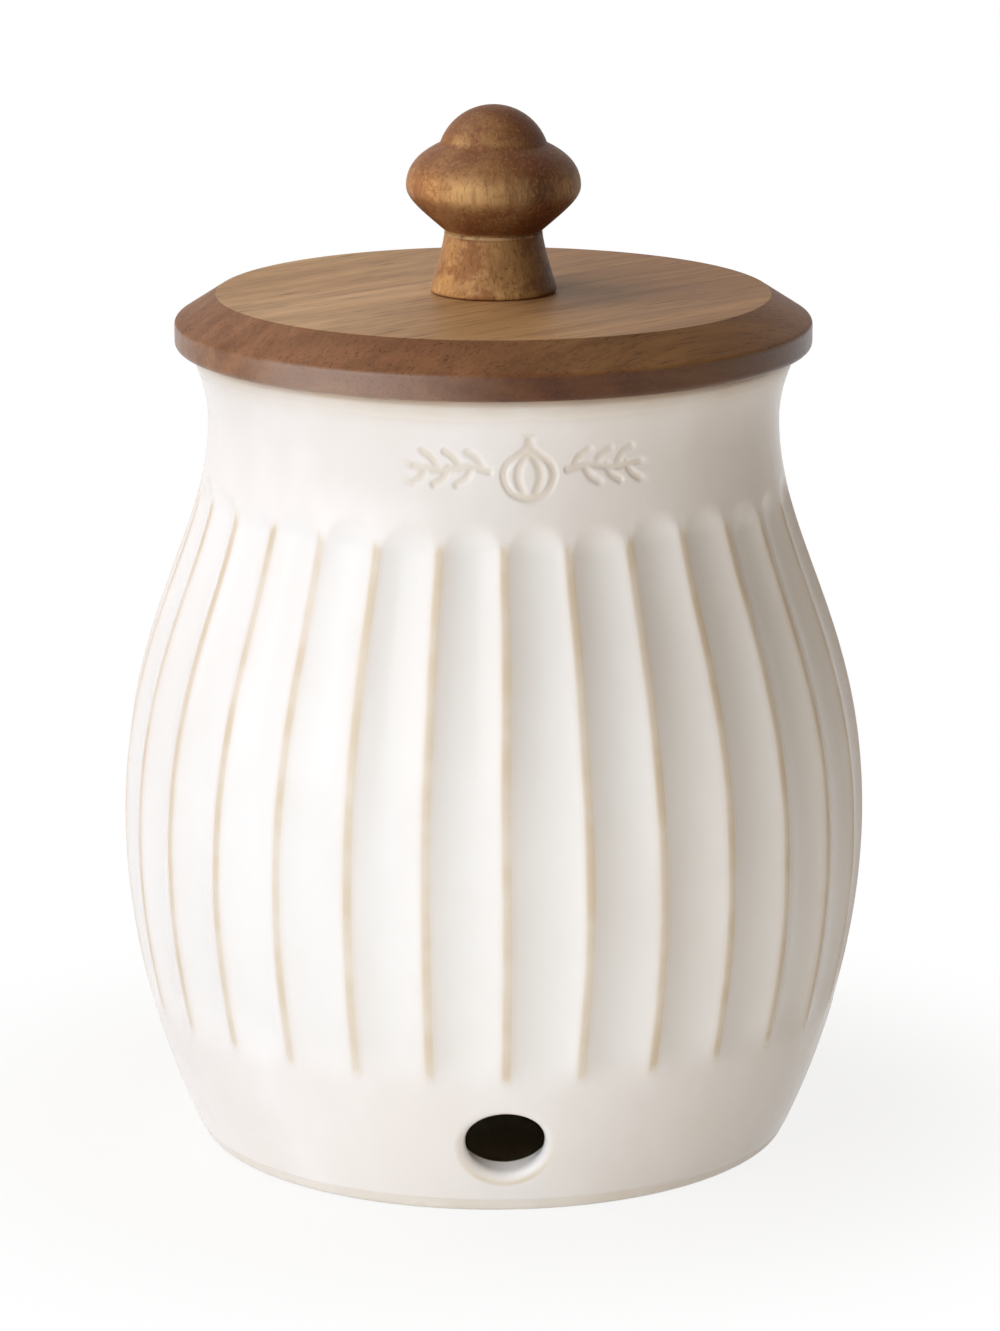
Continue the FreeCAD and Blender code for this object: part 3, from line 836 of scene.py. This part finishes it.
def wood_group():
    """Figure, streaks, fibres and open pores of a hardwood whose grain runs along X."""
    tree = bpy.data.node_groups.new("hardwood_grain", "ShaderNodeTree")
    tree.interface.new_socket("Vector", in_out="INPUT", socket_type="NodeSocketVector")
    for name, value in (("Ring Spacing", 0.004), ("Ring Wobble", 0.006), ("Fibre Scale", 1.0)):
        made = tree.interface.new_socket(name, in_out="INPUT", socket_type="NodeSocketFloat")
        made.default_value = value
    g = Graph(tree)
    given = tree.nodes.new("NodeGroupInput").outputs
    fine = given["Fibre Scale"]

    def stretched(along, scale, detail, roughness=0.5):
        place = g.vector("MULTIPLY", given["Vector"], (along, 1.0, 1.0))[0]
        return g.node("ShaderNodeTexNoise", Vector=place, Scale=scale, Detail=detail,
                      Roughness=roughness).outputs[0]

    _, y, z = g.split(given["Vector"])
    bent = g.plus(g.length(y, z), g.times(stretched(0.3, 30.0, 2.0), given["Ring Wobble"]))
    turns = g.times(g.over(bent, given["Ring Spacing"]), 2 * math.pi)
    outputs = {
        "Rings": g.math("MULTIPLY_ADD", g.math("SINE", turns), 0.5, 0.5),
        "Streaks": stretched(0.06, g.times(fine, 240.0), 4.0, 0.62),
        "Fibres": stretched(0.035, g.times(fine, 1100.0), 3.0, 0.7),
        "Pores": g.smooth(stretched(0.05, g.times(fine, 2100.0), 1.0), 0.6, 0.72),
        "Patches": stretched(0.35, 26.0, 2.0)}
    for name in outputs:
        tree.interface.new_socket(name, in_out="OUTPUT", socket_type="NodeSocketFloat")
    result = tree.nodes.new("NodeGroupOutput")
    for name, value in outputs.items():
        tree.links.new(value, result.inputs[name])
    return tree


class Timber(Finish):
    """An oiled hardwood finish. The mapping lays the grain, which runs along X, into the piece."""

    def __init__(self, name, grain, mapping, spacing, wobble, fibre_scale):
        super().__init__(name, IOR=1.45)
        figure = self.node("ShaderNodeGroup", {"node_tree": grain}, Vector=self.mapped(**mapping),
                           Ring_Spacing=spacing, Ring_Wobble=wobble, Fibre_Scale=fibre_scale)
        self.rings, self.streaks, self.fibres, self.pores, self.patches = figure.outputs
        self.normal = self.node("ShaderNodeNewGeometry").outputs["Normal"]

    def facing(self, direction):
        """How squarely the surface faces along a direction, either way: 0 to 1."""
        return self.math("ABSOLUTE", self.vector("DOT_PRODUCT", self.normal, direction)["Value"])

    def figured(self, dark, middle, light, ring_share, streak_share, fibre_share):
        """The timber's colour before anything that depends on how it was turned."""
        streaks = self.smooth(self.streaks, 0.42, 0.72)
        fibres = self.smooth(self.fibres, 0.42, 0.8)
        colour = self.mix(self.smooth(self.patches, 0.32, 0.68), light, middle)
        for figure, share in ((self.rings, ring_share), (streaks, streak_share), (fibres, fibre_share)):
            colour = self.mix(self.times(figure, share), colour, dark)
        return colour

    def finished(self, colour, rough, pore_share, gloss):
        """The material, with open pores and oil that leaves the fibres to be felt."""
        spotted = self.mix(self.times(self.pores, pore_share), colour, srgb(58, 36, 26))
        height = self.minus(self.times(self.fibres, 0.5), self.times(self.pores, 0.6))
        return self.wire(Base_Color=spotted, Roughness=self.plus(self.times(self.fibres, 0.16), rough),
                         Normal=self.bump(height, 0.3, 0.0002), Specular_IOR_Level=gloss)


LID_GRAIN = math.radians(42)


def make_lid_wood(grain):
    """Pale brown face with a fine slanting figure and painted shade towards +X; the turned edges darken,
    partly from oil in the end grain and partly as painted shade.
    """
    mapping = {"location": (0.0, 0.03, -0.12), "rotation": (0.05, 0.03, -LID_GRAIN)}
    f = Timber("lid_acacia", grain, mapping, 0.0062, 0.02, 1.0)
    x, y, height = f.split(f.here)
    wood = f.figured(srgb(140, 102, 66), srgb(196, 157, 109), srgb(219, 183, 137), 0.3, 0.5, 0.4)
    # the board darkens towards +X: partly its own tone, partly painted shade on the side away from the key
    # light
    toned_and_shaded = f.tint(wood, srgb(197, 177, 146), f.smooth(x, -0.034, 0.038, 0.0, 0.9))
    # the chamfer and the edge, darkened partly by oil in the end grain and partly by painted shade, set
    # differently on each side
    turned = f.smooth(f.facing((0.0, 0.0, 1.0)), 0.88, 0.98, 1.0, 0.0)
    soak_and_shade = f.times(turned, f.smooth(x, 0.0, 0.05, 0.86, 0.56))
    soaked_and_shaded = f.tint(toned_and_shaded, srgb(178, 170, 164), soak_and_shade)
    end_grain = f.facing((math.cos(LID_GRAIN), math.sin(LID_GRAIN), 0.0))
    reddened = f.tint(soaked_and_shaded, srgb(234, 208, 200), f.smooth(end_grain, 0.12, 0.5))
    speckle = f.smooth(f.noise(1500.0, 2.0, 0.6), 0.5, 0.7)
    speckled = f.mix(f.times(speckle, turned, 0.3), reddened, srgb(152, 104, 78))
    # the polished band below the chamfer, with painted shade towards +X and a painted grey sheen on its -X
    # side
    band_top = LID_CHAMFER_LOW * MM
    band = f.times(f.smooth(height, band_top - 0.0006, band_top + 0.0002, 1.0, 0.0),
                   f.smooth(f.length(x, y), 0.0545, 0.056))
    # painted shade: the band darkens towards +X
    band_shaded = f.tint(speckled, srgb(180, 162, 148), f.smooth(x, -0.03, 0.01))
    # painted sheen: a grey reflection painted on the band's -X side
    sheen = f.times(f.smooth(x, -0.048, -0.036), f.smooth(x, -0.03, 0.006, 0.45, 0.0))
    banded = f.mix(f.times(band, 0.92), speckled, f.mix(sheen, band_shaded, srgb(178, 162, 152)))
    rough = f.smooth(band, 0.0, 1.0, 0.42, 0.24)
    pore_share = f.smooth(band, 0.0, 1.0, 0.55, 0.2)
    return f.finished(banded, rough, pore_share, f.smooth(band, 0.0, 1.0, 0.14, 0.36))


def make_knob_wood(grain):
    """Golden brown with a darker red-brown heart on one side, grain upright; a painted highlight lights the
    -X side and painted shade partly darkens the top and the underside of the bulb.
    """
    mapping = {"location": (-0.14, 0.02, 0.006), "rotation": (0.0, math.pi / 2 + 0.06, 0.1)}
    f = Timber("knob_acacia", grain, mapping, 0.009, 0.02, 1.15)
    x, _, height = f.split(f.here)
    waist = KNOB_WAIST * MM
    plain = f.figured(srgb(112, 68, 40), srgb(178, 132, 82), srgb(228, 186, 128), 0.25, 0.5, 0.5)
    blotches = f.smooth(f.noise(85.0, 6.0, 0.78, stretch=(1, 1, 1.4)), 0.47, 0.57)
    mottled = f.mix(f.times(blotches, 0.6), plain, srgb(122, 70, 40))
    # painted highlight on the -X side, toward the key light, paler wood in the foot, dark heartwood on the
    # other side
    foot = f.smooth(height, waist - MM, waist, 1.0, 0.0)
    lit_side_and_pale_foot = f.math("MAXIMUM", f.smooth(x, -0.012, -0.002, 1.0, 0.0), foot)
    lit_and_pale = f.tint(mottled, (1.52, 1.58, 1.6, 1.0), lit_side_and_pale_foot)
    wavy = f.plus(x, f.times(f.minus(f.patches, 0.5), 0.03))
    heart = f.times(f.smooth(wavy, -0.004, 0.007), f.smooth(wavy, 0.006, 0.014, 0.97, 0.2))
    hearted = f.mix(heart, lit_and_pale, srgb(72, 42, 27))
    # darker on top and under the bulb: partly oil soaking into the end grain, partly painted shade
    up = f.split(f.normal)[2]
    end_grain = f.math("MAXIMUM", f.smooth(up, 0.15, 0.7, 0.0, 0.66), f.smooth(up, -0.7, -0.2, 0.6, 0.0))
    soaked_and_shaded = f.mix(end_grain, hearted, srgb(102, 56, 31))
    flecks = f.smooth(f.noise(1900.0, 3.0, 0.7, stretch=(1, 1, 0.4)), 0.48, 0.7)
    flecked = f.mix(f.times(flecks, 0.26), soaked_and_shaded, srgb(206, 158, 104))
    # the edge under the bulb, rubbed pale
    line = f.times(f.smooth(height, waist - 0.00055, waist - 0.0003),
                   f.smooth(height, waist, waist + 0.0001, 1.0, 0.0))
    worn = f.times(line, f.smooth(f.noise(260.0), 0.36, 0.6))
    return f.finished(f.mix(worn, flecked, srgb(222, 188, 142)), 0.42, 0.4, 0.16)


def make_silicone():
    f = Finish("milky_silicone", Roughness=0.45, IOR=1.41, Subsurface_Weight=0.25, Subsurface_Scale=0.004)
    dust = f.noise(900.0, 3.0, 0.6)
    colour = f.mix(f.smooth(dust, 0.5, 0.75), srgb(226, 224, 218), srgb(208, 204, 196))
    rough = f.plus(0.4, f.times(f.noise(60.0), 0.2))
    return f.wire(Base_Color=colour, Roughness=rough, Normal=f.bump(dust, 0.15, 0.0001))


def make_zinc():
    f = Finish("zinc_plate", Metallic=1.0, IOR=1.5)
    spangle = f.noise(650.0, 3.0, 0.6)
    turning = f.noise(260.0, stretch=(1, 1, 14))
    colour = f.mix(f.smooth(spangle, 0.35, 0.7), srgb(170, 172, 174), srgb(203, 204, 202))
    rough = f.plus(0.26, f.times(turning, 0.2))
    return f.wire(Base_Color=colour, Roughness=rough, Normal=f.bump(turning, 0.2, 0.0001))


# ---- pieces ----
def build_jar(glaze):
    """The pot in one skin, with its vents, pressed motif and flutes."""
    return apply_tree(press_motif(build_jar_skin()), flute_tree(), {
        "Flutes": FLUTES, "Depth": FLUTE_DEPTH * MM, "Ridge": FLUTE_RIDGE * MM, "Arch": FLUTE_ARCH * MM,
        "Fade": FLUTE_FADE * MM, "Softness": 0.2, "Low End": FLUTE_LOW * MM, "High End": FLUTE_HIGH * MM,
        "Unevenness": 0.7, "Seed": FLUTE_SEED, "Glaze": glaze})


def build_lid():
    """Disc with a wide chamfer, turned down below to a plug with the gasket's groove."""
    return turned_piece("lid_disc", rounded([
        (SCREW_HOLE_RADIUS, LID_TOP, 0),
        (SCREW_HOLE_RADIUS, COUNTERBORE_TOP, 0),
        (COUNTERBORE_RADIUS, COUNTERBORE_TOP, 0.2),
        (COUNTERBORE_RADIUS, PLUG_LOW, 0.4),
        (PLUG_RADIUS, PLUG_LOW, 0.8),
        (PLUG_RADIUS, GROOVE_LOW, 0.15),
        (GROOVE_RADIUS, GROOVE_LOW, 0.15),
        (GROOVE_RADIUS, GROOVE_HIGH, 0.15),
        (PLUG_RADIUS, GROOVE_HIGH, 0.15),
        (PLUG_RADIUS, JAR_HEIGHT, 0.3),
        (LID_RADIUS, JAR_HEIGHT, 1.2),
        (LID_RADIUS, LID_CHAMFER_LOW, 1.2),
        (LID_RADIUS - LID_CHAMFER_WIDTH, LID_TOP, 0.5),
        (SCREW_HOLE_RADIUS, LID_TOP, 0)]), 256)


def build_knob():
    """Tapered foot, waist, bulb, crease and dome, turned in one piece."""
    bulb_start = KNOB_WAIST_RADIUS - KNOB_LEDGE
    dome_height = KNOB_TOP - KNOB_CREASE
    dome_radius = (KNOB_CREASE_RADIUS ** 2 + dome_height ** 2) / (2 * dome_height)
    dome_start = math.degrees(math.asin((dome_radius - dome_height) / dome_radius))
    profile = rounded([(0, LID_TOP, 0), (KNOB_FOOT_RADIUS, LID_TOP, 0.6),
                       (KNOB_FOOT_RADIUS, LID_TOP + 1.2, 0)])[:-2]
    profile += bezier((KNOB_FOOT_RADIUS, LID_TOP + 0.9), (KNOB_FOOT_RADIUS - 1.0, LID_TOP + 3.9),
                      (KNOB_WAIST_RADIUS, KNOB_WAIST - 1.7), (KNOB_WAIST_RADIUS, KNOB_WAIST), 12)
    profile += [(bulb_start + 0.12, KNOB_WAIST), (bulb_start, KNOB_WAIST + 0.05)]
    profile += bezier((bulb_start, KNOB_WAIST), (bulb_start + 4.7, KNOB_WAIST + 4.1),
                      (KNOB_BULB_RADIUS, KNOB_BULB - 2.2), (KNOB_BULB_RADIUS, KNOB_BULB), 16)[1:]
    profile += bezier((KNOB_BULB_RADIUS, KNOB_BULB), (KNOB_BULB_RADIUS, KNOB_BULB + 4.8),
                      (KNOB_CREASE_RADIUS + 1.5, KNOB_CREASE - 0.8),
                      (KNOB_CREASE_RADIUS, KNOB_CREASE), 16)[1:]
    profile += arc((0, KNOB_TOP - dome_radius), dome_radius, dome_start, 90, 14)[1:-1]
    return turned_piece("turned_knob", profile + [(0, KNOB_TOP)])


def build_gasket():
    """Silicone ring in the plug's groove, with a soft fin at its top and bottom."""
    low = GROOVE_LOW + GASKET_SLACK
    high = GROOVE_HIGH - GASKET_SLACK
    back = GROOVE_RADIUS + GASKET_SLACK
    return turned_piece("seal_ring", rounded([
        (back, (low + high) / 2, 0),
        (back, low, 0.2),
        (GASKET_REACH, low, 0.3),
        (GASKET_REACH, low + GASKET_FIN, 0.3),
        (PLUG_RADIUS, low + GASKET_FIN, 0.3),
        (PLUG_RADIUS, high - GASKET_FIN, 0.3),
        (GASKET_REACH, high - GASKET_FIN, 0.3),
        (GASKET_REACH, high, 0.3),
        (back, high, 0.2),
        (back, (low + high) / 2, 0)])[:-1], 192, closed=True)


def finish_piece(piece, material, body, nodes):
    """Gives a piece its material and tells the frame which body and nodes it stands for."""
    piece.data.materials.clear()
    piece.data.materials.append(material)
    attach(piece, body)
    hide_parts(*nodes)


glaze = make_glaze()
grain = wood_group()
finish_piece(build_jar(glaze), glaze, "jar", ["jar"])
finish_piece(build_lid(), make_lid_wood(grain), "lid", ["lid_board"])
finish_piece(build_knob(), make_knob_wood(grain), "lid", ["knob"])
finish_piece(build_gasket(), make_silicone(), "seal", ["lid_gasket"])
zinc = make_zinc()
for node in ("knob_screw", "screw_washer"):
    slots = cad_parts[node].data.materials
    slots.clear()
    slots.append(zinc)

# ---- floor, light and camera ----
FLOOR_REACH = 3000
CAMERA_DISTANCE = 937.3     # from the jar's axis, along the floor
CAMERA_HEIGHT = 315.8
CAMERA_PITCH = 13.74        # degrees below level
CAMERA_AZIMUTH = -2.0       # degrees from straight ahead of the front vent
CAMERA_LENS = 142.1
CAMERA_SHIFT = 0.0049


def make_floor():
    """A pale floor that shows as white, and keeps some of its shade near the jar."""
    corners = [(x * FLOOR_REACH, y * FLOOR_REACH, 0) for x, y in ((-1, -1), (1, -1), (1, 1), (-1, 1))]
    floor = mesh_object("floor", corners, [(0, 1, 2, 3)], recalc=False)
    f = Finish("pale_floor", Roughness=0.9, Base_Color=(0.84, 0.81, 0.76, 1))
    white = f.node("ShaderNodeEmission", Strength=1.0, Color=(1, 1, 1, 1)).outputs[0]
    x, y, _ = f.split(f.here)
    share = f.times(f.background_seen(), f.smooth(f.length(x, y), 0.06, 0.14, 0.86, 1.0))
    blend = f.node("ShaderNodeMixShader", i0=share, i1=f.shader.outputs[0], i2=white).outputs[0]
    f.tree.links.new(blend, f.tree.nodes["Material Output"].inputs["Surface"])
    floor.data.materials.append(f.material)


def make_world():
    """A faint warm light from all sides, behind a white background."""
    world = bpy.data.worlds.new("studio")
    bpy.context.scene.world = world
    world.use_nodes = True
    g = Graph(world.node_tree)
    ambient = world.node_tree.nodes["Background"]
    ambient.inputs["Color"].default_value = (1.0, 0.52, 0.02, 1)
    ambient.inputs["Strength"].default_value = 0.116
    white = g.node("ShaderNodeBackground", Color=(1, 1, 1, 1), Strength=1.0).outputs[0]
    blend = g.node("ShaderNodeMixShader", i0=g.background_seen(), i1=ambient.outputs[0], i2=white).outputs[0]
    world.node_tree.links.new(blend, world.node_tree.nodes["World Output"].inputs["Surface"])


def softbox(name, place, aim, width, height, watts, colour, mirrored=True):
    """A rectangular lamp; one that isn't mirrored leaves no highlight on glossy pieces."""
    lamp = bpy.data.lights.new(name, "AREA")
    lamp.shape = "RECTANGLE"
    lamp.size = width
    lamp.size_y = height
    lamp.energy = watts
    lamp.color = colour
    piece = placed(name, lamp)
    piece.location = place
    piece.visible_glossy = mirrored
    piece.rotation_euler = (Vector(aim) - Vector(place)).to_track_quat("-Z", "Y").to_euler()


def make_camera():
    lens = bpy.data.cameras.new("camera")
    lens.lens = CAMERA_LENS
    lens.shift_x = CAMERA_SHIFT
    camera = placed("camera", lens)
    turn = math.radians(CAMERA_AZIMUTH)
    away = CAMERA_DISTANCE * MM
    camera.location = (away * math.sin(turn), -away * math.cos(turn), CAMERA_HEIGHT * MM)
    camera.rotation_euler = (math.radians(90 - CAMERA_PITCH), 0, turn)
    bpy.context.scene.camera = camera


make_floor()
make_world()
softbox("key", (-1.0, -0.8, 0.75), (0, 0, 0.08), 1.4, 1.4, 13.4, (0.902, 0.94, 1.0))
softbox("top", (-0.5, 0.15, 0.85), (0, 0, 0.12), 0.6, 0.6, 3.35, (1.0, 0.92, 0.925))
softbox("bounce", (0.06, -0.34, 0.03), (0, -0.05, 0.02), 0.5, 0.06, 0.38, (0.96, 0.99, 1.0), False)
softbox("bounce_left", (-0.3, -0.25, 0.025), (0, -0.02, 0.015), 0.4, 0.05, 0.245, (0.56, 0.75, 1.0), False)
make_camera()
bpy.context.scene.view_settings.view_transform = "Standard"
